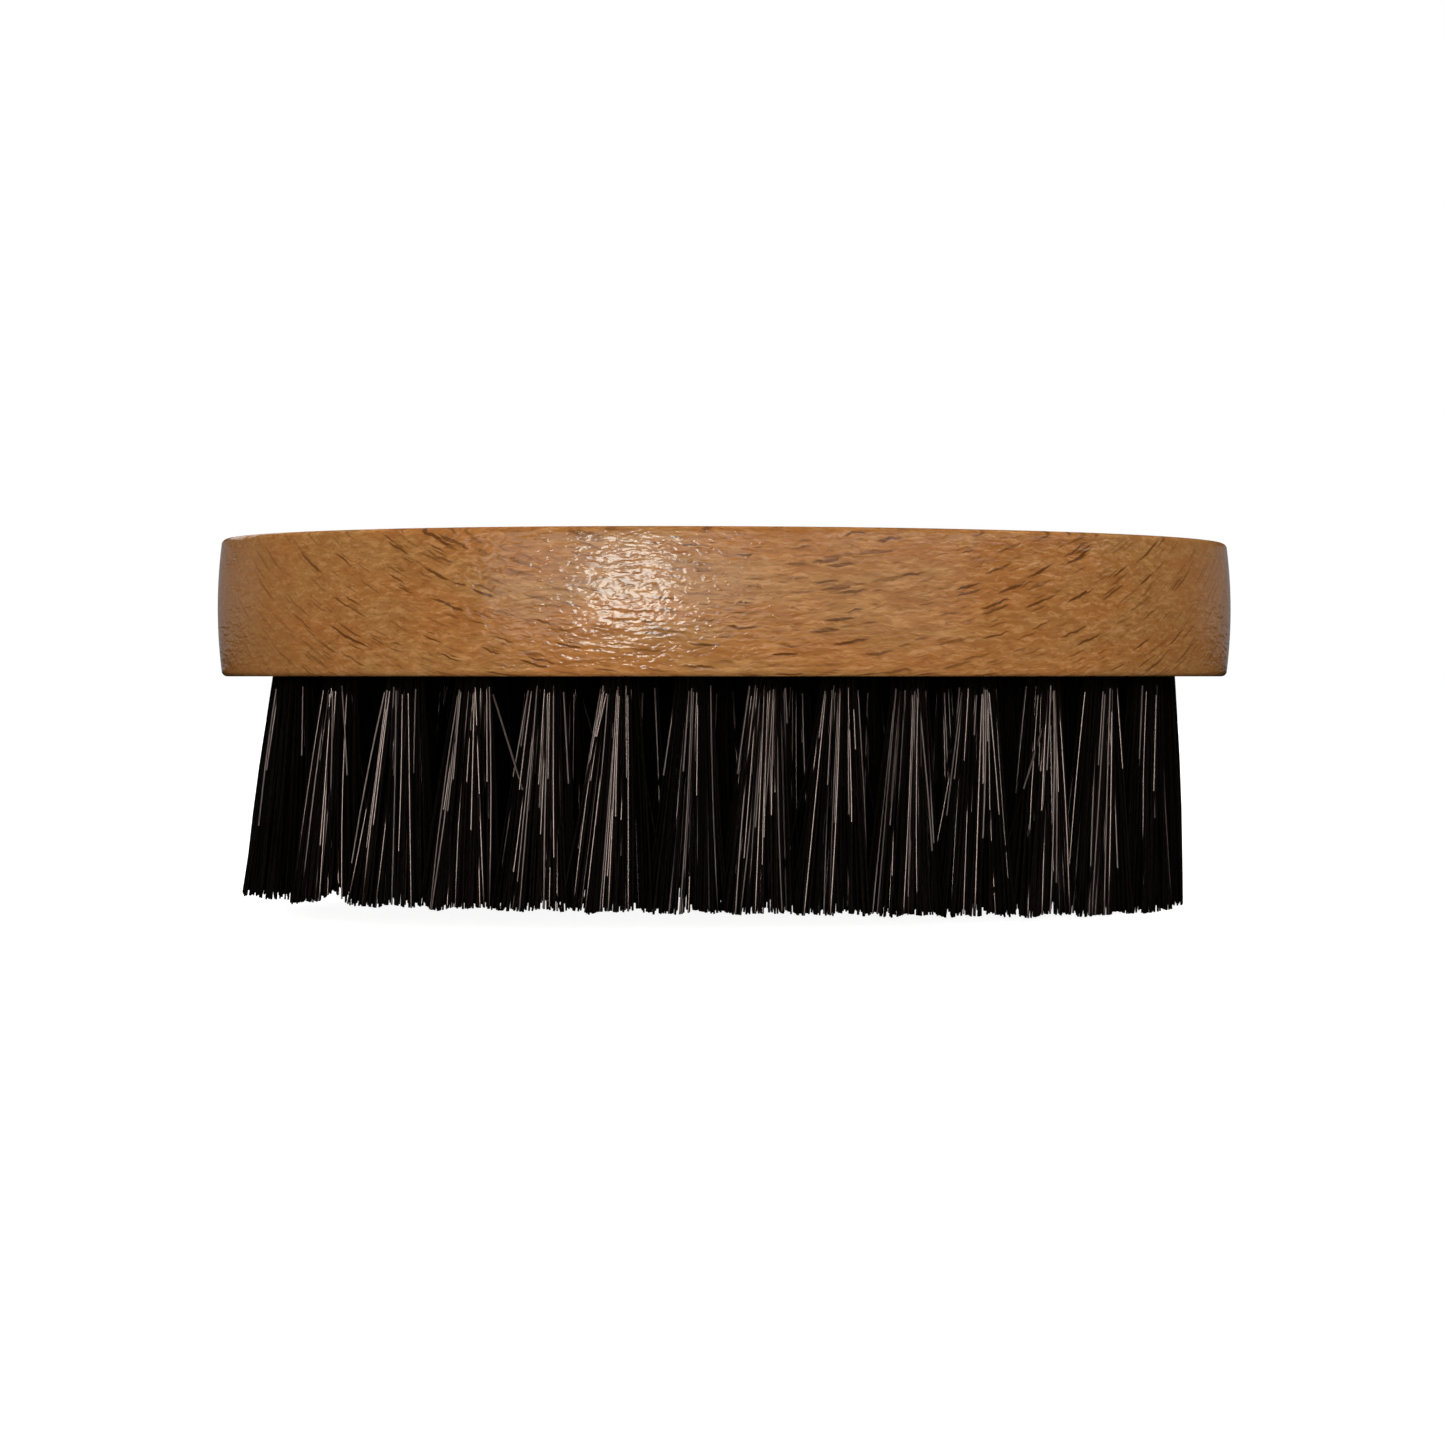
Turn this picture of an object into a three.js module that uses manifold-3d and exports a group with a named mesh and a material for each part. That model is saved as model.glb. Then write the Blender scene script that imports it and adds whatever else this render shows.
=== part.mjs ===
// An oval beard brush: a one-piece beech block with a flat back, and tufts of boar
// bristle set in blind holes drilled in its lower face. Millimetres, +Z up. The origin
// is the middle of the plane that the bristle tips lie in, and +X runs along the block.

import * as THREE from 'three';
import { mergeVertices } from 'three/addons/utils/BufferGeometryUtils.js';
import Module from 'manifold-3d';

const wasm = await Module();
wasm.setup();

// Overall size.
const LENGTH = 110;
const WIDTH = 55;
const HEIGHT = 39.5;

// The block: its side wall swells out a little between two rounded edges.
const BLOCK_THICKNESS = 14.5;
const WALL_BULGE = 0.4;
const EDGE_RADIUS = 0.6;
const BLOCK_SEGMENTS = 96;
const EDGE_STEPS = 2;
const WALL_STEPS = 4;

// The drilling pattern: two ovals of holes, one inside the other, around a straight row.
// A ring's phase is where its first hole lies, in pitches on from the +X end. The whole
// pattern is drilled a little off the block's middle.
const PATTERN_OFFSET = -0.4;
const RING_SQUARENESS = 2.2;
const RINGS = [
  { name: 'outer', count: 30, halfLength: 47.5, halfWidth: 18.5, phase: 0.8 },
  { name: 'inner', count: 22, halfLength: 39.5, halfWidth: 10.5, phase: 0.2 },
];
const CENTRE_ROW = { name: 'centre', count: 7, halfLength: 25 };

// A hole, and the tuft that is stapled in it. The tufts lean outwards, so that the tips
// stand on a slightly larger copy of the drilling pattern, and the whole field leans a
// little to -X.
const HOLE_RADIUS = 1.9;
const HOLE_DEPTH = 8.3;
const FIT_GAP = 0.3;
const TIP_RADIUS = 3.3;
const SPREAD_ALONG = 0.01;
const SPREAD_ACROSS = 0.08;
const FIELD_LEAN = -1.1;
const TUFT_SIDES = 12;
const CUT_OVERSHOOT = 1;

// Worked out from the sizes above.
const BLOCK_BASE = HEIGHT - BLOCK_THICKNESS;
const BRISTLE_LENGTH = BLOCK_BASE;
const ROOT_RADIUS = HOLE_RADIUS - FIT_GAP;
const ROOT_DEPTH = HOLE_DEPTH - FIT_GAP;
const WAIST_DROP = 0.35 * BRISTLE_LENGTH;
const WAIST_RADIUS = ROOT_RADIUS + 0.3 * (TIP_RADIUS - ROOT_RADIUS);

const BEECH = { color: 0xb07a45, roughness: 0.35, metalness: 0 };
const BRISTLE = { color: 0x0b0909, roughness: 0.5, metalness: 0 };

// A solid of revolution about Z. The profile is [radius, height] pairs that climb from
// the axis back to the axis.
function turned(profile, segments) {
  const points = profile.map(([radius, height]) => new THREE.Vector2(radius, height));
  return new THREE.LatheGeometry(points, segments).rotateX(Math.PI / 2);
}

// A closed geometry as a manifold-3d solid.
function toSolid(geometry) {
  const bare = geometry.clone();
  bare.deleteAttribute('normal');
  bare.deleteAttribute('uv');
  const merged = mergeVertices(bare, 1e-4);
  return new wasm.Manifold(
    new wasm.Mesh({
      numProp: 3,
      vertProperties: new Float32Array(merged.attributes.position.array),
      triVerts: new Uint32Array(merged.index.array),
    }),
  );
}

// A manifold-3d solid as a geometry, flat shaded.
function toGeometry(solid) {
  const mesh = solid.getMesh();
  const geometry = new THREE.BufferGeometry();
  geometry.setAttribute('position', new THREE.BufferAttribute(mesh.vertProperties, 3));
  geometry.setIndex(new THREE.BufferAttribute(mesh.triVerts, 1));
  const faceted = geometry.toNonIndexed();
  faceted.computeVertexNormals();
  return faceted;
}

function partMesh(name, geometry, finish) {
  const mesh = new THREE.Mesh(geometry, new THREE.MeshStandardMaterial(finish));
  mesh.name = name;
  return mesh;
}

// One oval of the drilling pattern, a superellipse that starts at the +X end.
class RingCurve extends THREE.Curve {
  constructor(ring) {
    super();
    this.ring = ring;
  }

  getPoint(t, target = new THREE.Vector3()) {
    const angle = 2 * Math.PI * t;
    const soften = (value) => Math.sign(value) * Math.abs(value) ** (2 / RING_SQUARENESS);
    return target.set(
      this.ring.halfLength * soften(Math.cos(angle)),
      this.ring.halfWidth * soften(Math.sin(angle)),
      0,
    );
  }
}

// Every hole's centre on the block's lower face, with its tuft's name.
function drillingPattern() {
  const holes = [];
  for (const ring of RINGS) {
    const curve = new RingCurve(ring);
    for (let i = 0; i < ring.count; i += 1) {
      const centre = curve.getPointAt((i + ring.phase) / ring.count);
      holes.push({ name: `tuft_${ring.name}_${String(i + 1).padStart(2, '0')}`, centre });
    }
  }
  const { name, count, halfLength } = CENTRE_ROW;
  for (let i = 0; i < count; i += 1) {
    const x = -halfLength + (2 * halfLength * i) / (count - 1);
    holes.push({
      name: `tuft_${name}_${String(i + 1).padStart(2, '0')}`,
      centre: new THREE.Vector3(x, 0, 0),
    });
  }
  for (const hole of holes) {
    hole.centre.x += PATTERN_OFFSET;
    hole.centre.z = BLOCK_BASE;
  }
  return holes;
}

// The shear that leans a tuft, or its hole, by its share of the spread and by the
// field's lean. Its origin is the middle of the hole's mouth.
function leanOf(centre) {
  const alongPerHeight = -(SPREAD_ALONG * centre.x + FIELD_LEAN) / BRISTLE_LENGTH;
  const acrossPerHeight = (-SPREAD_ACROSS * centre.y) / BRISTLE_LENGTH;
  return new THREE.Matrix4().makeShear(0, 0, 0, 0, alongPerHeight, acrossPerHeight);
}

// The wall as [inset from the outline, height above the base] pairs, from the base up.
function wallProfile() {
  const rounding = [];
  for (let i = 0; i <= EDGE_STEPS; i += 1) {
    const turn = (Math.PI / 2) * (i / EDGE_STEPS);
    rounding.push([
      WALL_BULGE + EDGE_RADIUS * (1 - Math.sin(turn)),
      EDGE_RADIUS * (1 - Math.cos(turn)),
    ]);
  }
  const wall = [];
  for (let i = 1; i < WALL_STEPS; i += 1) {
    const part = i / WALL_STEPS;
    wall.push([
      WALL_BULGE * (2 * part - 1) ** 2,
      EDGE_RADIUS + part * (BLOCK_THICKNESS - 2 * EDGE_RADIUS),
    ]);
  }
  const upper = rounding.map(([inset, height]) => [inset, BLOCK_THICKNESS - height]);
  return [...rounding, ...wall, ...upper.reverse()];
}

// A round block squeezed to the oval outline, with every inset kept square to it.
function ovalBlock() {
  const halfLength = LENGTH / 2;
  const halfWidth = WIDTH / 2;
  const rim = wallProfile().map(([inset, height]) => [halfLength - inset, height]);
  const geometry = turned([[0, 0], ...rim, [0, BLOCK_THICKNESS]], BLOCK_SEGMENTS);
  const position = geometry.attributes.position;
  const outward = new THREE.Vector2();
  for (let i = 0; i < position.count; i += 1) {
    const radius = Math.hypot(position.getX(i), position.getY(i));
    if (radius > EDGE_RADIUS) {
      const cos = position.getX(i) / radius;
      const sin = position.getY(i) / radius;
      const inset = halfLength - radius;
      outward.set(cos / halfLength, sin / halfWidth).normalize();
      position.setXY(
        i,
        halfLength * cos - inset * outward.x,
        halfWidth * sin - inset * outward.y,
      );
    }
  }
  return geometry.translate(0, 0, BLOCK_BASE);
}

// The block with a blind hole for every tuft.
function handleBlock(holes) {
  const drill = turned(
    [
      [0, -CUT_OVERSHOOT],
      [HOLE_RADIUS, -CUT_OVERSHOOT],
      [HOLE_RADIUS, HOLE_DEPTH],
      [0, HOLE_DEPTH],
    ],
    TUFT_SIDES,
  );
  let block = toSolid(ovalBlock());
  for (const { centre } of holes) {
    const cut = drill.clone().applyMatrix4(leanOf(centre));
    cut.translate(centre.x, centre.y, centre.z);
    block = block.subtract(toSolid(cut));
  }
  return partMesh('handle_block', toGeometry(block), BEECH);
}

// One tuft: a packed root that fills its hole, and bristles that flare to a flat trim.
function bristleTuft({ name, centre }) {
  const body = turned(
    [
      [0, -BRISTLE_LENGTH],
      [TIP_RADIUS, -BRISTLE_LENGTH],
      [WAIST_RADIUS, -WAIST_DROP],
      [ROOT_RADIUS, 0],
      [ROOT_RADIUS, ROOT_DEPTH],
      [0, ROOT_DEPTH],
    ],
    TUFT_SIDES,
  );
  const tuft = partMesh(name, body.applyMatrix4(leanOf(centre)), BRISTLE);
  tuft.position.copy(centre);
  return tuft;
}

const holes = drillingPattern();
const tufts = new THREE.Group();
tufts.name = 'bristle_field';
for (const hole of holes) tufts.add(bristleTuft(hole));

const brush = new THREE.Group();
brush.name = 'beard_brush';
brush.add(handleBlock(holes));
brush.add(tufts);

export default brush;
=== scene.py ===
"""An oval beard brush in metres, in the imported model's frame: a lacquered beech block,
a field of black boar bristle tufts, and the small metal anchors that hold them."""

import math
import random

import bmesh
import bpy
import numpy as np
from mathutils import Matrix, Vector
from mathutils.geometry import delaunay_2d_cdt


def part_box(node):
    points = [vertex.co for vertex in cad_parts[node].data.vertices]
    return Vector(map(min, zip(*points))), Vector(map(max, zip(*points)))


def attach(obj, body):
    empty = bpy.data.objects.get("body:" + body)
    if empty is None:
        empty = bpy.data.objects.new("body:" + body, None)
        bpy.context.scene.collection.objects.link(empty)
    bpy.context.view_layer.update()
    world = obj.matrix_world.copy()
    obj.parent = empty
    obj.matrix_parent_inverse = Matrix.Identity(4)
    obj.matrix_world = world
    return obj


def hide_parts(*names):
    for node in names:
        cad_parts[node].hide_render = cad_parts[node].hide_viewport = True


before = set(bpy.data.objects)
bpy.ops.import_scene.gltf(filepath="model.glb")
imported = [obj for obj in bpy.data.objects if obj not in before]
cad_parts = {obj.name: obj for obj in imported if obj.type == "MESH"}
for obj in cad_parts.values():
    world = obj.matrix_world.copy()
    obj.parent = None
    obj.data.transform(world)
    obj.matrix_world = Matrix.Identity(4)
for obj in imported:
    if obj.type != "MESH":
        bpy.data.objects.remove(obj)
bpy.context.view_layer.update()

MM = 0.001
TAU = 2 * math.pi

# The block. Its outline and height come from the frame.
WALL_BULGE = 0.4 * MM
EDGE_RADIUS = 0.6 * MM
OUTLINE_STEPS = 288
EDGE_STEPS = 5
WALL_STEPS = 14
WELD_DISTANCE = 1e-6
LEAST_GAP = 1e-7  # corners of the drilled face that are nearer than this count as one
LEVEL_NORMAL = 0.9999  # a face whose normal is this upright is one of the flat ones

# The holes. Their places come from the frame's tufts.
HOLE_RADIUS = 1.9 * MM
HOLE_DEPTH = 8.3 * MM
RIM_CHAMFER = 0.12 * MM
DRILL_POINT = 1.1 * MM
HOLE_SIDES = 24
SECTION_TOLERANCE = 0.05 * MM

# The anchors: plates cut from flat wire and driven across the holes.
ANCHOR_LENGTH = 3.6 * MM
ANCHOR_HEIGHT = 1.5 * MM
ANCHOR_THICKNESS = 0.32 * MM
ANCHOR_ROUNDING = 0.07 * MM
ANCHOR_DEPTH = 5.4 * MM

# The bristles: each is one hair folded double over its tuft's anchor.
HAIRS_PER_TUFT = 66
HAIR_RADIUS = 0.12 * MM
RADIUS_RANGE = (0.8, 1.12)  # as shares of HAIR_RADIUS
TIP_TAPER = 0.92
TAPER_CURVE = 1.5
CUT_TAPER = 0.85
CUT_ROUNDING = 0.10 * MM
HAIR_BOW = 0.28 * MM
HAIR_SIDES = 6
LEG_STEPS = 5
STEP_SHIFT = 0.4  # as a share of a step along the leg
RING_START = (0.31, 0.95, 0.05)  # every ring of a hair starts square to this direction
FIRST_SEED = 1000

# Where the hairs leave the holes and where their tips stand.
PACKING_RADIUS = HOLE_RADIUS - 0.9 * HAIR_RADIUS
RIM_CROWDING = 0.38
FOLD_GATHER = 0.55  # how wide the hairs lie at the fold, as a share of the mouth
TIP_SPREAD = 4.1 * MM
FIELD_MARGIN = 3.3 * MM
USUAL_DRIFT = 0.55 * MM
STRAY_SHARE = 0.045
STRAY_DRIFT = 3.4 * MM
STRAY_RISE = 0.3 * MM
CROSSING_SHARE = 0.008
CROSSING_DRIFT = 8.0 * MM
UNEVEN_RISE = 0.22 * MM

# The trim, in millimetres along the block: its line, a small nick and shallow waves. A
# wave is its depth, its pace and its start.
TRIM_LENGTH = 23.4
TRIM_SLOPE = 0.024
TRIM_CURVE = 0.0003
NICK_PLACE = -41.5
NICK_DEPTH = 0.9
NICK_WIDTH = 1.3
TRIM_WAVES = ((0.14, 0.85, 0), (0.10, 2.1, 1))
LEAST_TRIM = 0.03 * MM  # this one is in metres

# The sleek hairs, which paint highlight and shade. The shiny hairs are put where the lamp by the
# camera lights the bristle: most in the middle of a tuft's outer face and on the long sides of the
# field. Even they have dull roots, a painted shadow of the block, and, mostly, dull tips, a painted
# fading of the highlight.
# Painted highlight: the shares and reach of the shiny hairs follow where the lamp by the camera
# lights the tufts.
LIT_SLEEK_SHARE = 0.74
LEAST_LIT_SLEEK_SHARE = 0.04
LIT_SLEEK_REACH = 0.85 * PACKING_RADIUS
LIT_SLEEK_FALLOFF = 3
INNER_LIT_SLEEKNESS = 0.4
# Painted shade: the hairs stay dull this far below the block, in place of the block's shadow on their
# roots.
SHADED_ROOT = (0.9 * MM, 2.0 * MM)
SHADED_ROOT_STEPS = 2
# Painted shade: how many steps at a tip are dull, for the highlight that fades towards the tips.
SHADED_TIP_STEPS = (0, 0, 0, 2, 3, 3, 3, 4, 4, 5)

block_low, block_high = (Vector(corner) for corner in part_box("handle_block"))
BASE = block_low.z
TOP = block_high.z
HALF_LENGTH = (block_high.x - block_low.x) / 2
HALF_WIDTH = (block_high.y - block_low.y) / 2


# ---------------------------------------------------------------- the frame's tufts

def section_middle(points, height):
    """The middle of a CAD tuft's section at a height."""
    level = [p for p in points if abs(p.z - height) < SECTION_TOLERANCE]
    xs, ys = [p.x for p in level], [p.y for p in level]
    return Vector(((min(xs) + max(xs)) / 2, (min(ys) + max(ys)) / 2, height))


def lean_of(mouth, tip):
    """How far a tuft and its hole drift sideways for each metre of height."""
    return (mouth - tip) / (mouth.z - tip.z)


def read_tufts():
    """Each CAD tuft's node name, the middle of its hole's mouth and of its tips."""
    tufts = []
    for name in sorted(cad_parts):
        if name.startswith("tuft_"):
            points = [v.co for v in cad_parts[name].data.vertices]
            mouth = section_middle(points, BASE)
            tip = section_middle(points, min(p.z for p in points))
            tufts.append((name, mouth, tip))
    return tufts


# ---------------------------------------------------------------- meshes

def new_object(name, verts, faces, material, smooth=True):
    """A mesh object from lists of corners and faces."""
    mesh = bpy.data.meshes.new(name)
    mesh.from_pydata(verts, [], faces)
    mesh.polygons.foreach_set("use_smooth", [smooth] * len(mesh.polygons))
    mesh.materials.append(material)
    mesh.update()
    made = bpy.data.objects.new(name, mesh)
    bpy.context.scene.collection.objects.link(made)
    return made


def outline_point(step, inset):
    """A point of the oval outline, moved in square to it."""
    turn = TAU * step / OUTLINE_STEPS
    normal = Vector((math.cos(turn) / HALF_LENGTH, math.sin(turn) / HALF_WIDTH)).normalized()
    return Vector((HALF_LENGTH * math.cos(turn), HALF_WIDTH * math.sin(turn))) - inset * normal


def wall_profile():
    """The side wall as (inset, height) pairs, from the lower face to the back."""
    rounding = []
    for i in range(EDGE_STEPS + 1):
        turn = math.pi / 2 * i / EDGE_STEPS
        rounding.append((WALL_BULGE + EDGE_RADIUS * (1 - math.sin(turn)),
                         EDGE_RADIUS * (1 - math.cos(turn))))
    lower = [(inset, BASE + rise) for inset, rise in rounding]
    upper = [(inset, TOP - rise) for inset, rise in reversed(rounding)]
    wall = []
    for i in range(1, WALL_STEPS):
        part = i / WALL_STEPS
        height = BASE + EDGE_RADIUS + part * (TOP - BASE - 2 * EDGE_RADIUS)
        wall.append((WALL_BULGE * (2 * part - 1) ** 2, height))
    return lower + wall + upper


def hole_rings(mouth, tip):
    """A blind hole's rings of (middle, radius), from its mouth in to its drill point."""
    lean = lean_of(mouth, tip)
    levels = [(0, HOLE_RADIUS + RIM_CHAMFER), (RIM_CHAMFER, HOLE_RADIUS),
              (HOLE_DEPTH, HOLE_RADIUS), (HOLE_DEPTH + DRILL_POINT, 0)]
    return [(mouth + lean * depth, radius) for depth, radius in levels]


def drilled_face(rim, mouths, radius):
    """Corners and triangles of the flat lower face, with a round gap at every mouth."""
    corners = [Vector(p[:2]) for p in rim]
    loops = [list(range(len(rim)))]
    for mouth in mouths:
        loops.append(list(range(len(corners), len(corners) + HOLE_SIDES)))
        for i in range(HOLE_SIDES):
            turn = TAU * i / HOLE_SIDES
            corners.append(Vector((mouth.x + radius * math.cos(turn),
                                   mouth.y + radius * math.sin(turn))))
    edges = [(loop[i - 1], loop[i]) for loop in loops for i in range(len(loop))]
    made = delaunay_2d_cdt(corners, edges, [loops[0]], 1, LEAST_GAP)
    flat, triangles = made[0], made[2]
    reach = radius * math.cos(math.pi / HOLE_SIDES)
    kept = []
    for triangle in triangles:
        centre = sum((flat[i] for i in triangle), Vector((0, 0))) / 3
        if all((centre - mouth.to_2d()).length > reach for mouth in mouths):
            kept.append(tuple(triangle))
    return [(p.x, p.y, BASE) for p in flat], kept


class Skin:
    """Corners and faces that are gathered ring by ring."""

    def __init__(self):
        self.verts, self.faces = [], []

    def ring(self, points):
        """Adds corners, and gives back their numbers."""
        start = len(self.verts)
        self.verts.extend(points)
        return list(range(start, len(self.verts)))

    def join(self, rings):
        """Adds a band of faces between each ring and the next."""
        for lower, upper in zip(rings, rings[1:]):
            for i in range(len(lower)):
                self.faces.append((lower[i - 1], lower[i], upper[i], upper[i - 1]))


def add_wall(skin):
    """The side wall and the flat back. Gives back the wall's lowest ring."""
    loops = []
    for inset, height in wall_profile():
        flat = [outline_point(i, inset) for i in range(OUTLINE_STEPS)]
        loops.append(skin.ring([(p.x, p.y, height) for p in flat]))
    skin.join(loops)
    skin.faces.append(tuple(loops[-1]))
    return loops[0]


def add_lower_face(skin, rim, mouths, radius):
    """The drilled lower face inside the wall's lowest ring."""
    corners, triangles = drilled_face([skin.verts[i] for i in rim], mouths, radius)
    numbers = skin.ring(corners)
    skin.faces.extend(tuple(numbers[i] for i in reversed(t)) for t in triangles)


def add_hole(skin, hole):
    """A hole's wall and its drill point."""
    rings = []
    for middle, radius in hole[:-1]:
        rings.append(skin.ring([(middle.x + radius * math.cos(TAU * i / HOLE_SIDES),
                                 middle.y + radius * math.sin(TAU * i / HOLE_SIDES), middle.z)
                                for i in range(HOLE_SIDES)]))
    skin.join(rings[::-1])
    point = skin.ring([tuple(hole[-1][0])])[0]
    skin.faces.extend((rings[-1][i], rings[-1][i - 1], point) for i in range(HOLE_SIDES))


def make_block(tufts, material):
    """The block as one closed mesh: the wall, the flat back and the drilled lower face."""
    skin = Skin()
    rim = add_wall(skin)
    holes = [hole_rings(mouth, tip) for _, mouth, tip in tufts]
    mouths = [hole[0][0] for hole in holes]
    add_lower_face(skin, rim, mouths, HOLE_RADIUS + RIM_CHAMFER)
    for hole in holes:
        add_hole(skin, hole)
    block = new_object("beech_block", skin.verts, skin.faces, material)
    close_and_crease(block.data)
    return block


def close_and_crease(mesh):
    """Joins corners that meet, and keeps the edges of flat faces and holes crisp."""
    bm = bmesh.new()
    bm.from_mesh(mesh)
    bmesh.ops.remove_doubles(bm, verts=bm.verts, dist=WELD_DISTANCE)
    bmesh.ops.recalc_face_normals(bm, faces=bm.faces)
    for edge in bm.edges:
        flat = [abs(face.normal.z) > LEVEL_NORMAL for face in edge.link_faces]
        edge.smooth = len(flat) == 2 and flat[0] == flat[1]
    bm.to_mesh(mesh)
    bm.free()


# ---------------------------------------------------------------- bristles

def trim_height(x):
    """How high the trimmed tips stand at a place along the block."""
    along = x / MM
    length = TRIM_LENGTH + TRIM_SLOPE * along + TRIM_CURVE * along * along
    nick = NICK_DEPTH * math.exp(-((along - NICK_PLACE) / NICK_WIDTH) ** 2)
    waves = sum(depth * math.sin(pace * along + start) for depth, pace, start in TRIM_WAVES)
    return max(LEAST_TRIM, BASE - (length - nick - waves) * MM)


def kept_in_field(point, field):
    """A tip's place, drawn in if it is outside the oval that the tips fill."""
    middle, half_length, half_width = field
    across = Vector(((point.x - middle.x) / half_length, (point.y - middle.y) / half_width))
    excess = max(1.0, across.length)
    return middle + (point - middle) / excess


def field_oval(tufts):
    """The middle and half sizes of the oval that the tips fill."""
    tips = [tip for _, _, tip in tufts]
    xs, ys = [p.x for p in tips], [p.y for p in tips]
    middle = Vector(((min(xs) + max(xs)) / 2, (min(ys) + max(ys)) / 2, tips[0].z))
    half_length = (max(xs) - min(xs)) / 2 + FIELD_MARGIN
    half_width = (max(ys) - min(ys)) / 2 + FIELD_MARGIN
    return middle, half_length, half_width


def disc_point(rng, radius, crowding=0.5):
    """A random point of a disc. A crowding below 0.5 puts more of them near its rim."""
    reach, turn = radius * rng.random() ** crowding, TAU * rng.random()
    return Vector((reach * math.cos(turn), reach * math.sin(turn), 0))


def leg_path(rng, inner, mouth_point, tip_point):
    """One leg of a hair from its fold to its tip, with the slight bow of real bristle."""
    bow = disc_point(rng, HAIR_BOW)
    points = [inner, mouth_point]
    # The first step ends where the painted shade below the block ends.
    first = rng.uniform(*SHADED_ROOT) / (mouth_point - tip_point).length
    for i in range(LEG_STEPS + 1):
        shift = rng.uniform(-STEP_SHIFT, STEP_SHIFT) if 0 < i < LEG_STEPS else 0
        part = first + (1 - first) * (i + shift) / LEG_STEPS
        points.append(mouth_point.lerp(tip_point, part) + bow * math.sin(math.pi * part))
    cut = points.pop()
    points.append(cut + (points[-1] - cut).normalized() * CUT_ROUNDING)
    return points + [cut]


def hair_end(rng, place, tip, field):
    """Where a hair ends, spread out from its place in the mouth. A few stray further."""
    stray = rng.random() < STRAY_SHARE
    crossing = rng.random() < CROSSING_SHARE
    drift = CROSSING_DRIFT if crossing else STRAY_DRIFT if stray else USUAL_DRIFT
    loose = disc_point(rng, drift)
    end = kept_in_field(tip + place * (TIP_SPREAD / PACKING_RADIUS) + loose, field)
    end.z = trim_height(end.x) + rng.random() ** 3 * UNEVEN_RISE + stray * STRAY_RISE
    return end


def hair_path(rng, mouth, tip, anchor_side, field):
    """A folded hair's path from one tip, over the anchor, to the other tip."""
    fold_depth = ANCHOR_DEPTH + ANCHOR_HEIGHT / 2 + HAIR_RADIUS
    fold = mouth + lean_of(mouth, tip) * fold_depth
    legs = []
    for side in (-1, 1):
        place = disc_point(rng, PACKING_RADIUS, RIM_CROWDING)
        across = place.dot(anchor_side)
        if across * side < 0:
            place -= 2 * across * anchor_side
        end = hair_end(rng, place, tip, field)
        legs.append(leg_path(rng, fold + place * FOLD_GATHER, mouth + place, end))
    return list(reversed(legs[0])) + legs[1]


def tube(path, radii, sides):
    """Corners and faces of a closed round tube along a path."""
    path = np.array([tuple(p) for p in path])
    along = np.gradient(path, axis=0)
    along /= np.linalg.norm(along, axis=1)[:, None]
    across = np.cross(along, RING_START)
    across /= np.linalg.norm(across, axis=1)[:, None]
    other = np.cross(along, across)
    turns = TAU * np.arange(sides) / sides
    ring = (np.cos(turns)[None, :, None] * across[:, None, :]
            + np.sin(turns)[None, :, None] * other[:, None, :])
    verts = (path[:, None, :] + ring * np.array(radii)[:, None, None]).reshape(-1, 3)
    faces = []
    for i in range(len(path) - 1):
        for j in range(sides):
            k = (j + 1) % sides
            faces.append((i * sides + j, i * sides + k, (i + 1) * sides + k, (i + 1) * sides + j))
    last = (len(path) - 1) * sides
    faces.append(tuple(reversed(range(sides))))
    faces.append(tuple(range(last, last + sides)))
    return verts, faces


def hair_radii(rng, rings):
    """A hair's radius at each ring: widest at the fold and rounded off at both cut ends."""
    radius = HAIR_RADIUS * rng.uniform(*RADIUS_RANGE)
    half = rings // 2
    taper = [1 - (1 - TIP_TAPER) * (i / half) ** TAPER_CURVE for i in range(half - 1)]
    taper.append(CUT_TAPER * taper[-1])
    leg = [radius * part for part in taper]
    return leg[::-1] + leg


def is_lit_sleek(rng, path, mouth, outward, lit_sleekness):
    """Whether a hair is smooth and shiny, as painted highlight. Most that are lie in the middle of
    the tuft's outer face, where the lamp by the camera lights it.
    """
    half = len(path) // 2
    emerging = [path[half - 2], path[half + 1]]  # where its two legs leave the hole
    aside = min(abs((point - mouth).to_2d().cross(outward)) for point in emerging)
    chance = LIT_SLEEK_SHARE * (1 - min(1.0, aside / LIT_SLEEK_REACH)) + LEAST_LIT_SLEEK_SHARE
    return rng.random() < chance * lit_sleekness


def face_kinds(rng, rings, faces, lit_sleek):
    """The material of each of a hair's faces: 1 where it is sleek and 0 where it is dull. The dull
    root is painted shadow of the block, and the dull tips are painted fading of the highlight.
    """
    kinds = np.full(faces, int(lit_sleek))
    half = rings // 2
    # Painted shadow of the block: the root part of both legs is dull.
    root_start, root_end = half - 1 - SHADED_ROOT_STEPS, half + SHADED_ROOT_STEPS
    kinds[root_start * HAIR_SIDES:root_end * HAIR_SIDES] = 0
    # Painted fading of the highlight: some steps at each tip are dull.
    kinds[:rng.choice(SHADED_TIP_STEPS) * HAIR_SIDES] = 0
    kinds[(rings - 1 - rng.choice(SHADED_TIP_STEPS)) * HAIR_SIDES:] = 0
    return kinds.tolist()


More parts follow.
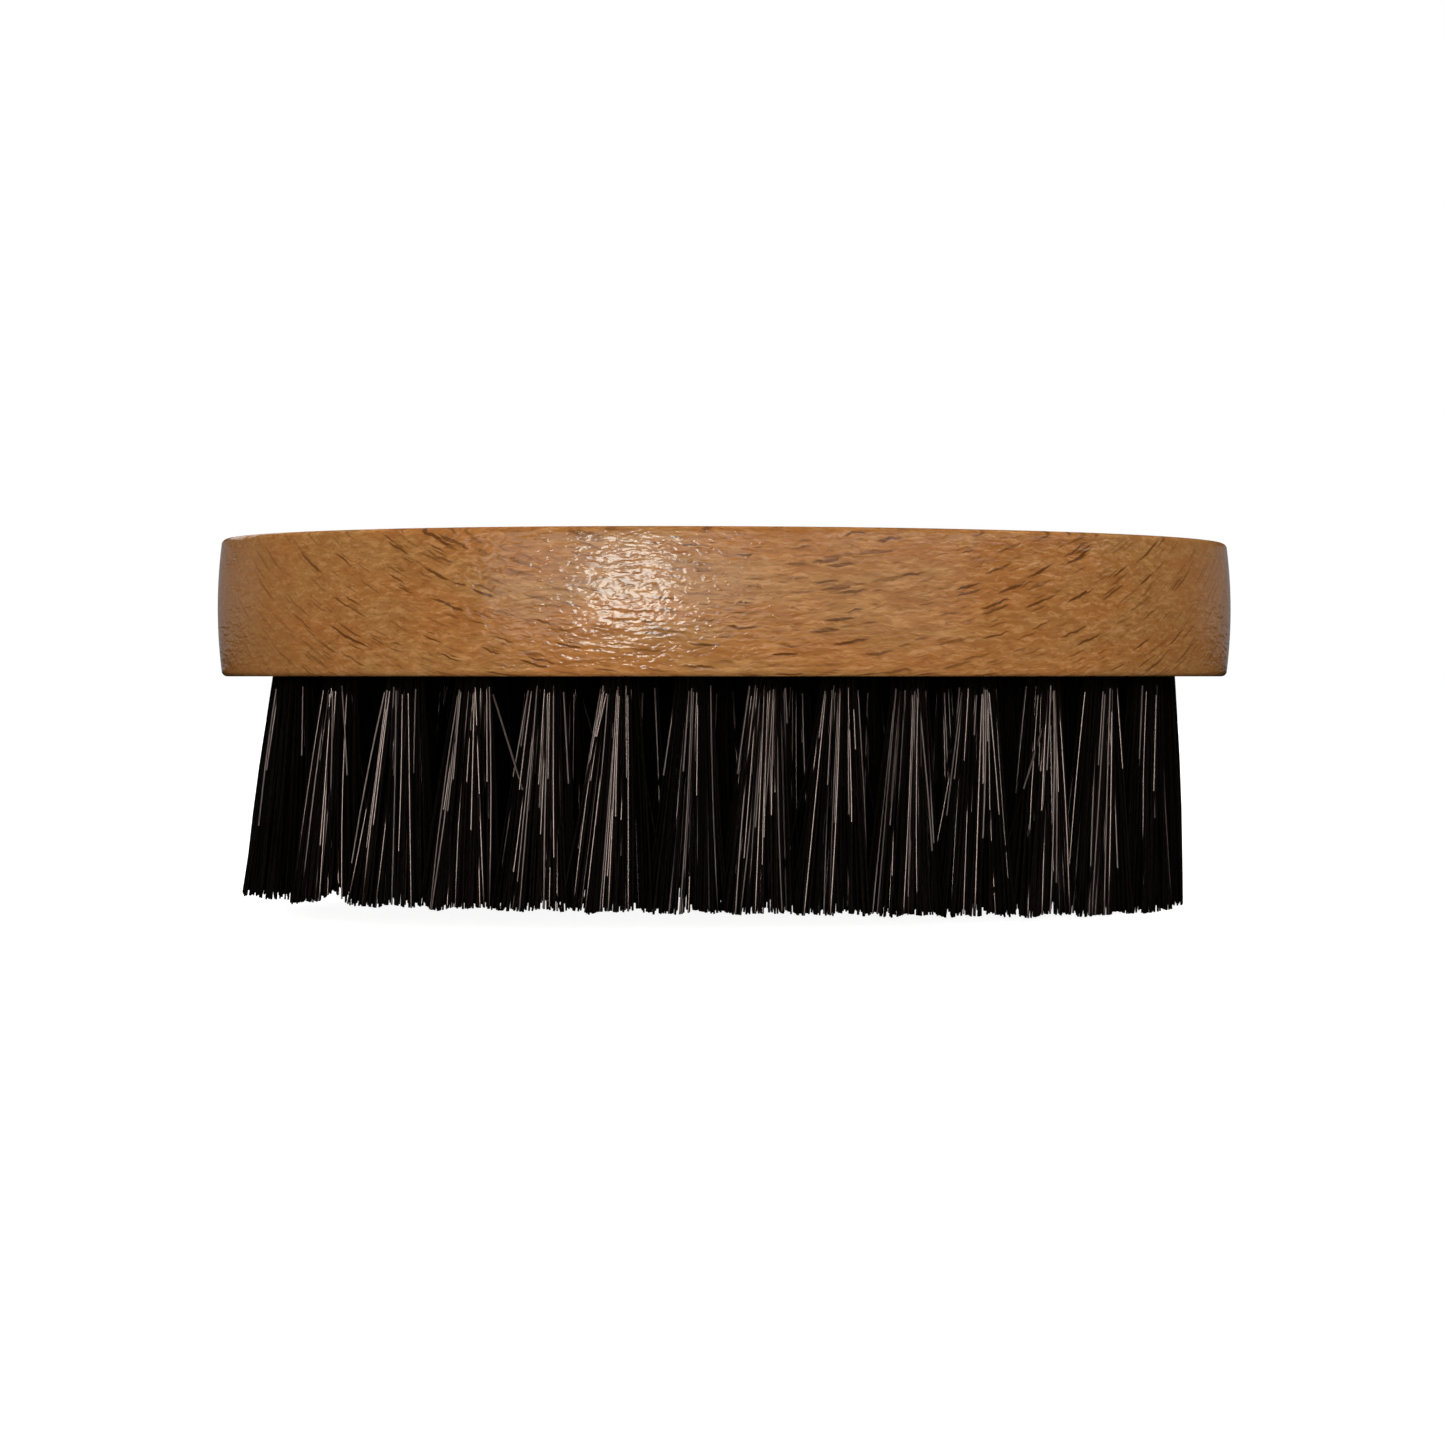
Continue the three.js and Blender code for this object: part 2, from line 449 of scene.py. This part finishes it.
def make_tuft(index, name, mouth, tip, field, materials):
    """One tuft of folded hairs, dull ones and sleek ones, laid out as painted highlight and shade.
    Also gives its anchor's turn.
    """
    rng = random.Random(FIRST_SEED + index)
    turn = TAU * rng.random()
    anchor_side = Vector((-math.sin(turn), math.cos(turn), 0))
    outward = Vector((mouth.x / field[1] ** 2, mouth.y / field[2] ** 2)).normalized()
    # Painted shade: fewer shiny hairs in the tufts towards the ends and in the inner tufts, where
    # less light falls on them.
    lit_sleekness = abs(outward.y) ** LIT_SLEEK_FALLOFF * (1 if "outer" in name else INNER_LIT_SLEEKNESS)
    all_verts, all_faces, kinds, polish, start = [], [], [], [], 0
    for _ in range(HAIRS_PER_TUFT):
        path = hair_path(rng, mouth, tip, anchor_side, field)
        verts, faces = tube(path, hair_radii(rng, len(path)), HAIR_SIDES)
        all_verts.append(verts)
        all_faces.extend(tuple(start + i for i in face) for face in faces)
        lit_sleek = is_lit_sleek(rng, path, mouth, outward, lit_sleekness)
        kinds.extend(face_kinds(rng, len(path), len(faces), lit_sleek))
        polish.extend([rng.random()] * len(verts))
        start += len(verts)
    verts = np.concatenate(all_verts).tolist()
    tuft = new_object(name.replace("tuft_", "bristles_"), verts, all_faces, materials[0])
    tuft.data.materials.append(materials[1])
    tuft.data.polygons.foreach_set("material_index", kinds)
    tuft.data.attributes.new("polish", "FLOAT", "POINT").data.foreach_set("value", polish)
    return tuft, turn


def make_anchors(places, material):
    """The anchors of every tuft, as one piece: rounded plates set across the holes."""
    bm = bmesh.new()
    for middle, turn in places:
        made = bmesh.ops.create_cube(bm, size=1)["verts"]
        bmesh.ops.scale(bm, vec=(ANCHOR_LENGTH, ANCHOR_THICKNESS, ANCHOR_HEIGHT), verts=made)
        edges = list({e for v in made for e in v.link_edges})
        rounded = bmesh.ops.bevel(bm, geom=edges, offset=ANCHOR_ROUNDING, segments=2, affect="EDGES")
        made = list({v for f in rounded["faces"] for v in f.verts})
        place = Matrix.Translation(middle) @ Matrix.Rotation(turn, 4, "Z")
        bmesh.ops.transform(bm, matrix=place, verts=made)
    mesh = bpy.data.meshes.new("staple_anchors")
    bm.to_mesh(mesh)
    bm.free()
    mesh.materials.append(material)
    anchors = bpy.data.objects.new("staple_anchors", mesh)
    bpy.context.scene.collection.objects.link(anchors)
    return anchors


# ---------------------------------------------------------------- materials

def rgb(red, green, blue):
    """A colour with no transparency."""
    return (red, green, blue, 1.0)


RAY_SLOPE = math.atan(1.31)  # the rays' tilt from the block's width, seen from its end
BEECH_RED = rgb(0.405, 0.165, 0.048)
BEECH_YELLOW = rgb(0.388, 0.190, 0.062)
BEECH_GROWTH = rgb(0.320, 0.125, 0.034)
BEECH_LIGHT_SMEAR = rgb(0.560, 0.290, 0.115)
BEECH_DARK_SMEAR = rgb(0.235, 0.090, 0.024)
BEECH_VEIN = rgb(0.275, 0.095, 0.025)
BEECH_PORE = rgb(0.220, 0.085, 0.025)
BEECH_FLECK = rgb(0.125, 0.046, 0.013)
BEECH_SPECK = rgb(0.110, 0.038, 0.009)
BEECH_END_GRAIN = rgb(0.375, 0.165, 0.052)
LACQUER_RELIEF = 0.026 * MM
BRISTLE_BLACK = rgb(0.0020, 0.0016, 0.0015)
BRISTLE_BROWN = rgb(0.060, 0.034, 0.026)
BRISTLE_SCALE = rgb(0.0012, 0.0010, 0.0010)
BRISTLE_SHINE = rgb(1.0, 0.80, 0.76)
WIRE_DARK = rgb(0.42, 0.42, 0.43)
WIRE_LIGHT = rgb(0.62, 0.62, 0.63)
FLOOR_DARK = rgb(0.42, 0.42, 0.42)
FLOOR_LIGHT = rgb(0.45, 0.45, 0.45)
FLOOR_EMISSION = 0.91
WHITE = rgb(1, 1, 1)


def add(tree, kind, inputs=None, **settings):
    """A node with its settings and inputs. An input is a value or another node's output."""
    made = tree.nodes.new(kind)
    for name, value in settings.items():
        setattr(made, name, value)
    for name, value in (inputs or {}).items():
        if isinstance(value, bpy.types.NodeSocket):
            tree.links.new(value, made.inputs[name])
        else:
            made.inputs[name].default_value = value
    return made


def new_material(name, roughness, specular):
    """A material with one Principled shader, and a position in millimetres to build on."""
    material = bpy.data.materials.new(name)
    material.use_nodes = True
    tree = material.node_tree
    shader = tree.nodes["Principled BSDF"]
    shader.inputs["Roughness"].default_value = roughness
    shader.inputs["Specular IOR Level"].default_value = specular
    place = add(tree, "ShaderNodeTexCoord").outputs["Object"]
    position = add(tree, "ShaderNodeMapping", {"Vector": place, "Scale": (1 / MM,) * 3})
    return material, tree, shader, position.outputs["Vector"]


def stretched(tree, position, size, turn=0.0):
    """Position counted in cells of a size in mm, after a turn about X."""
    turned = add(tree, "ShaderNodeMapping", {"Vector": position, "Rotation": (turn, 0, 0)})
    scale = tuple(1 / s for s in size)
    cells = add(tree, "ShaderNodeMapping", {"Vector": turned.outputs["Vector"], "Scale": scale})
    return cells.outputs["Vector"]


def noise(tree, vector, detail=3.0, roughness=0.5):
    """Noise from 0 to 1, of one cell's size."""
    made = add(tree, "ShaderNodeTexNoise",
               {"Vector": vector, "Scale": 1.0, "Detail": detail, "Roughness": roughness})
    return made.outputs["Fac"]


def between(tree, value, low, high, to_low=0.0, to_high=1.0):
    """A value eased from one range to another."""
    made = add(tree, "ShaderNodeMapRange",
               {"Value": value, "From Min": low, "From Max": high,
                "To Min": to_low, "To Max": to_high}, interpolation_type="SMOOTHSTEP")
    return made.outputs["Result"]


def maths(tree, operation, first, second=0.0):
    """Two values put together. Some operations only use the first."""
    made = add(tree, "ShaderNodeMath", {0: first, 1: second}, operation=operation)
    return made.outputs["Value"]


def mixed(tree, factor, first, second):
    """Two colours put together. Each is a colour or another node's output."""
    made = tree.nodes.new("ShaderNodeMix")
    made.data_type = "RGBA"
    sockets = {s.identifier: s for s in made.inputs}
    for socket, value in (("Factor_Float", factor), ("A_Color", first), ("B_Color", second)):
        if isinstance(value, bpy.types.NodeSocket):
            tree.links.new(value, sockets[socket])
        else:
            sockets[socket].default_value = value
    return next(s for s in made.outputs if s.identifier == "Result_Color")


def painted(tree, colour, layers):
    """A colour with layers painted over it in turn. A layer is its mask and its colour."""
    for mask, paint in layers:
        colour = mixed(tree, mask, colour, paint)
    return colour


def weighted_sum(tree, terms):
    """The sum of some values, each times its weight."""
    parts = [maths(tree, "MULTIPLY", value, weight) for value, weight in terms]
    total = parts[0]
    for part in parts[1:]:
        total = maths(tree, "ADD", total, part)
    return total


def wavy(tree, position, size, reach):
    """Position pushed up and down by a slow wave, which bends what is drawn on it."""
    wave = noise(tree, stretched(tree, position, (size, size, size)), 2.0)
    shift = add(tree, "ShaderNodeCombineXYZ", {"Z": maths(tree, "MULTIPLY", wave, reach)})
    moved = add(tree, "ShaderNodeVectorMath", {0: position, 1: shift.outputs["Vector"]},
                operation="ADD")
    return moved.outputs["Vector"]


def spots(tree, position, size, share, soft, turn=0.0):
    """Scattered lens-shaped spots: 1 in a spot and 0 outside. A share of cells has one."""
    cells = stretched(tree, position, size, turn)
    nearest = add(tree, "ShaderNodeTexVoronoi",
                  {"Vector": cells, "Scale": 1.0, "Randomness": 1.0}, feature="F1")
    chance = add(tree, "ShaderNodeSeparateColor", {"Color": nearest.outputs["Color"]})
    picked = between(tree, chance.outputs["Red"], 1 - share, 1 - share + 0.01)
    depth = between(tree, chance.outputs["Blue"], 0, 1, 0.45, 1.0)
    reach = between(tree, chance.outputs["Green"], 0, 1, 0.26, 0.46)
    inside = maths(tree, "SUBTRACT", reach, nearest.outputs["Distance"])
    shape = between(tree, inside, 0.0, soft)
    return maths(tree, "MULTIPLY", maths(tree, "MULTIPLY", shape, picked), depth)


def grooves(tree, position, size, width):
    """Thin wavy lines: 0 in the line and 1 between the lines."""
    field = noise(tree, stretched(tree, position, size), 2.0)
    off_line = maths(tree, "ABSOLUTE", maths(tree, "SUBTRACT", field, 0.5))
    return between(tree, off_line, 0.0, width)


def beech_zones(tree, bent):
    """Slow changes along the wood, which colour it and dull its lacquer."""
    return noise(tree, stretched(tree, bent, (14.0, 5.0, 3.6)), 2.0)


def beech_grain(tree, bent, zones):
    """The wood's colour without its flecks. Sizes are in mm along, across and up."""
    growth = noise(tree, stretched(tree, bent, (45.0, 1.5, 1.3)), 3.0, 0.6)
    smears = noise(tree, stretched(tree, bent, (3.0, 0.65, 0.40)), 3.0, 0.6)
    veins = noise(tree, stretched(tree, bent, (4.5, 1.6, 0.7), -RAY_SLOPE), 3.0, 0.6)
    pores = noise(tree, stretched(tree, bent, (1.6, 0.22, 0.22)), 1.0, 0.6)
    return painted(tree, BEECH_RED, [
        (between(tree, zones, 0.38, 0.62), BEECH_YELLOW),
        (between(tree, growth, 0.40, 0.62, 0.0, 0.50), BEECH_GROWTH),
        (between(tree, smears, 0.50, 0.64, 0.0, 0.50), BEECH_LIGHT_SMEAR),
        (between(tree, smears, 0.48, 0.35, 0.0, 0.36), BEECH_DARK_SMEAR),
        (between(tree, veins, 0.53, 0.68, 0.0, 0.45), BEECH_VEIN),
        (between(tree, pores, 0.54, 0.70, 0.0, 0.50), BEECH_PORE)])


def beech_flecked(tree, position, bent, grain):
    """The grain with the dark flecks of the rays, which fade into the ends' duller wood."""
    swaying = wavy(tree, position, 1.6, 0.5)
    flecks = maths(tree, "MAXIMUM",
                   spots(tree, swaying, (4.2, 7.0, 0.29), 0.46, 0.17, -RAY_SLOPE),
                   spots(tree, bent, (4.8, 6.0, 0.28), 0.42, 0.17, -RAY_SLOPE))
    specks = spots(tree, swaying, (2.4, 4.0, 0.24), 0.42, 0.20, -RAY_SLOPE)
    along = add(tree, "ShaderNodeSeparateXYZ", {"Vector": position}).outputs["X"]
    end_grain = between(tree, maths(tree, "ABSOLUTE", along), 38, 53, 0.0, 0.6)
    return painted(tree, grain, [
        (flecks, BEECH_FLECK),
        (maths(tree, "MULTIPLY", specks, 0.60), BEECH_SPECK),
        (end_grain, BEECH_END_GRAIN)])


def lacquer_height(tree, position, bent):
    """The lacquer's relief: level lines, scales and dimples over a fine orange peel."""
    level = wavy(tree, position, 2.6, 0.35)
    lines = maths(tree, "MULTIPLY", grooves(tree, level, (6.0, 6.0, 1.50), 0.15),
                  grooves(tree, level, (4.2, 4.2, 1.20), 0.14))
    scales = grooves(tree, bent, (1.80, 1.80, 0.95), 0.14)
    dimples = spots(tree, bent, (0.90, 0.90, 0.44), 0.60, 0.30)
    peel = noise(tree, stretched(tree, position, (0.9, 0.9, 0.5)), 1.0)
    return weighted_sum(tree, [(lines, 1.10), (scales, 0.60), (dimples, 1.20), (peel, 0.3)])


def beech():
    """Steamed beech under clear lacquer."""
    material, tree, shader, position = new_material("beech_lacquered", 0.16, 0.5)
    bent = wavy(tree, position, 1.4, 0.8)
    zones = beech_zones(tree, bent)
    colour = beech_flecked(tree, position, bent, beech_grain(tree, bent, zones))
    tree.links.new(colour, shader.inputs["Base Color"])
    bump = add(tree, "ShaderNodeBump", {"Strength": 1.0, "Distance": LACQUER_RELIEF,
                                        "Height": lacquer_height(tree, position, bent)})
    tree.links.new(bump.outputs["Normal"], shader.inputs["Normal"])
    tree.links.new(between(tree, zones, 0.3, 0.7, 0.08, 0.12), shader.inputs["Roughness"])
    return material


def bristle(name, brown, ior, specular, shiniest, dullest):
    """Black boar bristle: near black, with a share of brown in some hairs, and its
    roughness runs from the shiniest hair's to the dullest one's."""
    material, tree, shader, position = new_material(name, dullest, specular)
    shader.inputs["IOR"].default_value = ior
    shader.inputs["Specular Tint"].default_value = BRISTLE_SHINE
    polish = add(tree, "ShaderNodeAttribute", attribute_name="polish").outputs["Fac"]
    scales = noise(tree, stretched(tree, position, (0.15, 0.15, 0.5)), 2.0)
    colour = mixed(tree, between(tree, polish, 0.2, 1.0, 0.1 * brown, brown),
                   BRISTLE_BLACK, BRISTLE_BROWN)
    colour = mixed(tree, between(tree, scales, 0.45, 0.65), colour, BRISTLE_SCALE)
    tree.links.new(colour, shader.inputs["Base Color"])
    gloss = maths(tree, "ADD", between(tree, polish, 0, 1, dullest, shiniest),
                  maths(tree, "MULTIPLY", scales, 0.08))
    tree.links.new(gloss, shader.inputs["Roughness"])
    return material


def anchor_steel():
    """Bright drawn wire with fine draw lines."""
    material, tree, shader, position = new_material("anchor_steel", 0.3, 0.5)
    shader.inputs["Metallic"].default_value = 1.0
    lines = noise(tree, stretched(tree, position, (2.0, 2.0, 0.05)), 2.0)
    colour = mixed(tree, lines, WIRE_DARK, WIRE_LIGHT)
    tree.links.new(colour, shader.inputs["Base Color"])
    tree.links.new(between(tree, lines, 0.3, 0.7, 0.25, 0.42), shader.inputs["Roughness"])
    return material


def white_floor():
    """Plain pale studio floor."""
    material, tree, shader, position = new_material("studio_floor", 0.9, 0.0)
    mottle = noise(tree, stretched(tree, position, (60, 60, 60)), 1.0)
    colour = mixed(tree, mottle, FLOOR_DARK, FLOOR_LIGHT)
    tree.links.new(colour, shader.inputs["Base Color"])
    shader.inputs["Emission Color"].default_value = WHITE
    shader.inputs["Emission Strength"].default_value = FLOOR_EMISSION
    return material


# ---------------------------------------------------------------- camera, light, floor

CAMERA_DISTANCE = 229.4 * MM
CAMERA_YAW = math.radians(5.2)
CAMERA_SENSOR = 36.0
CAMERA_LENS = 52.4
CAMERA_SHIFT = (-0.0069, -0.0319)
CAMERA_CLIP = (0.005, 20.0)
WARM = (1.0, 0.95, 0.89)
PALE = (0.92, 0.95, 0.89)
COOL = (0.86, 0.93, 1.0)
SUN_POWER = 0.95
SUN_ANGLE = math.radians(60)
FLOOR_REACH = 3.0


def make_camera():
    """A close view of the long side, level with the block's lower face."""
    data = bpy.data.cameras.new("camera")
    data.sensor_width = CAMERA_SENSOR
    data.lens = CAMERA_LENS
    data.shift_x, data.shift_y = CAMERA_SHIFT
    data.clip_start, data.clip_end = CAMERA_CLIP
    camera = bpy.data.objects.new("camera", data)
    camera.location = (-CAMERA_DISTANCE * math.sin(CAMERA_YAW),
                       -CAMERA_DISTANCE * math.cos(CAMERA_YAW), BASE)
    camera.rotation_euler = (math.pi / 2, 0, -CAMERA_YAW)
    bpy.context.scene.collection.objects.link(camera)
    bpy.context.scene.camera = camera


def area_light(name, azimuth, elevation, distance, size, power, colour=(1, 1, 1),
               mirrored=True):
    """A rectangular softbox aimed at the block's middle, in degrees, metres and watts.
    Azimuth 0 is in front. One that isn't mirrored doesn't show in shiny surfaces."""
    data = bpy.data.lights.new(name, "AREA")
    data.shape = "RECTANGLE"
    data.size, data.size_y = size
    data.energy = power
    data.color = colour
    lamp = bpy.data.objects.new(name, data)
    a, e = math.radians(azimuth), math.radians(elevation)
    away = Vector((math.sin(a) * math.cos(e), -math.cos(a) * math.cos(e), math.sin(e)))
    lamp.location = Vector((0, 0, BASE)) + away * distance
    lamp.rotation_mode = "QUATERNION"
    lamp.rotation_quaternion = away.to_track_quat("Z", "Y")
    lamp.visible_camera = False
    lamp.visible_glossy = mirrored
    bpy.context.scene.collection.objects.link(lamp)


def make_sun():
    """Very soft light from straight above, the same all over the floor."""
    data = bpy.data.lights.new("sky", "SUN")
    data.energy = SUN_POWER
    data.angle = SUN_ANGLE
    sun = bpy.data.objects.new("sky", data)
    sun.location = (0, 0, 1)
    sun.visible_glossy = False
    bpy.context.scene.collection.objects.link(sun)


def make_lights():
    """A bright softbox by the camera in a dimmer one, wide soft fills all round, and low
    strips in place of the light that a white floor throws up at the wood."""
    area_light("key", -11.5, 5.5, 0.70, (0.119, 0.185), 0.84, PALE)
    area_light("key_surround", -14, 10, 0.75, (0.50, 0.40), 1.05, WARM)
    area_light("key_side", 20, 8, 0.75, (0.42, 0.40), 0.34, WARM)
    for azimuth in (125, 180, 235):
        area_light("behind", azimuth, 4, 0.9, (0.94, 0.19), 0.14, COOL)
    area_light("sheen_back", 205, 27, 0.9, (1.04, 0.25), 0.98)
    area_light("sheen_front", 40, 24, 0.9, (0.84, 0.19), 0.6)
    area_light("fill_front", -6, 8, 0.9, (0.5, 0.5), 2.5, WARM, mirrored=False)
    for azimuth in (0, 180):
        area_light("floor_glow", azimuth, -20, 0.063, (0.10, 0.006), 0.009, WARM, mirrored=False)
    area_light("fill_back", 180, 20, 1.0, (1.0, 0.6), 7.5, mirrored=False)
    area_light("fill_above", 0, 85, 0.8, (0.9, 0.7), 4.0, mirrored=False)
    for side in (-1, 1):
        area_light("fill_side", side * 100, 12, 0.9, (0.5, 0.5), 1.4, mirrored=False)
    make_sun()


def make_world():
    """Plain white surroundings, which only the camera sees."""
    world = bpy.data.worlds.new("studio")
    world.use_nodes = True
    background = world.node_tree.nodes["Background"]
    background.inputs["Color"].default_value = WHITE
    background.inputs["Strength"].default_value = 1.0
    world.cycles_visibility.diffuse = False
    world.cycles_visibility.glossy = False
    world.cycles_visibility.transmission = False
    world.cycles_visibility.scatter = False
    bpy.context.scene.world = world


def make_floor(material):
    """A large flat floor at the bristle tips."""
    corners = [(x * FLOOR_REACH, y * FLOOR_REACH, 0) for x, y in ((-1, -1), (1, -1), (1, 1), (-1, 1))]
    floor = new_object("floor", corners, [(0, 1, 2, 3)], material, smooth=False)
    floor.visible_glossy = False
    floor.visible_diffuse = False


# ---------------------------------------------------------------- the brush

make_camera()
tufts = read_tufts()

block = make_block(tufts, beech())
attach(block, "root")
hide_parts("handle_block")

# The shiny material paints the highlights where it is placed. The dull one is dull hair and also
# stands in for shade.
bristle_materials = (
    bristle("boar_bristle", brown=0.06, ior=1.45, specular=0.03, shiniest=0.45, dullest=0.65),
    bristle("boar_bristle_sleek_lit", brown=0.45, ior=1.88, specular=1.0, shiniest=0.08, dullest=0.44))
field = field_oval(tufts)
anchor_places = []
for index, (name, mouth, tip) in enumerate(tufts):
    tuft, turn = make_tuft(index, name, mouth, tip, field, bristle_materials)
    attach(tuft, "root")
    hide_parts(name)
    anchor_places.append((mouth + lean_of(mouth, tip) * ANCHOR_DEPTH, turn))

anchors = make_anchors(anchor_places, anchor_steel())
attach(anchors, "root")

make_floor(white_floor())
make_lights()
make_world()
bpy.context.scene.view_settings.view_transform = "Standard"
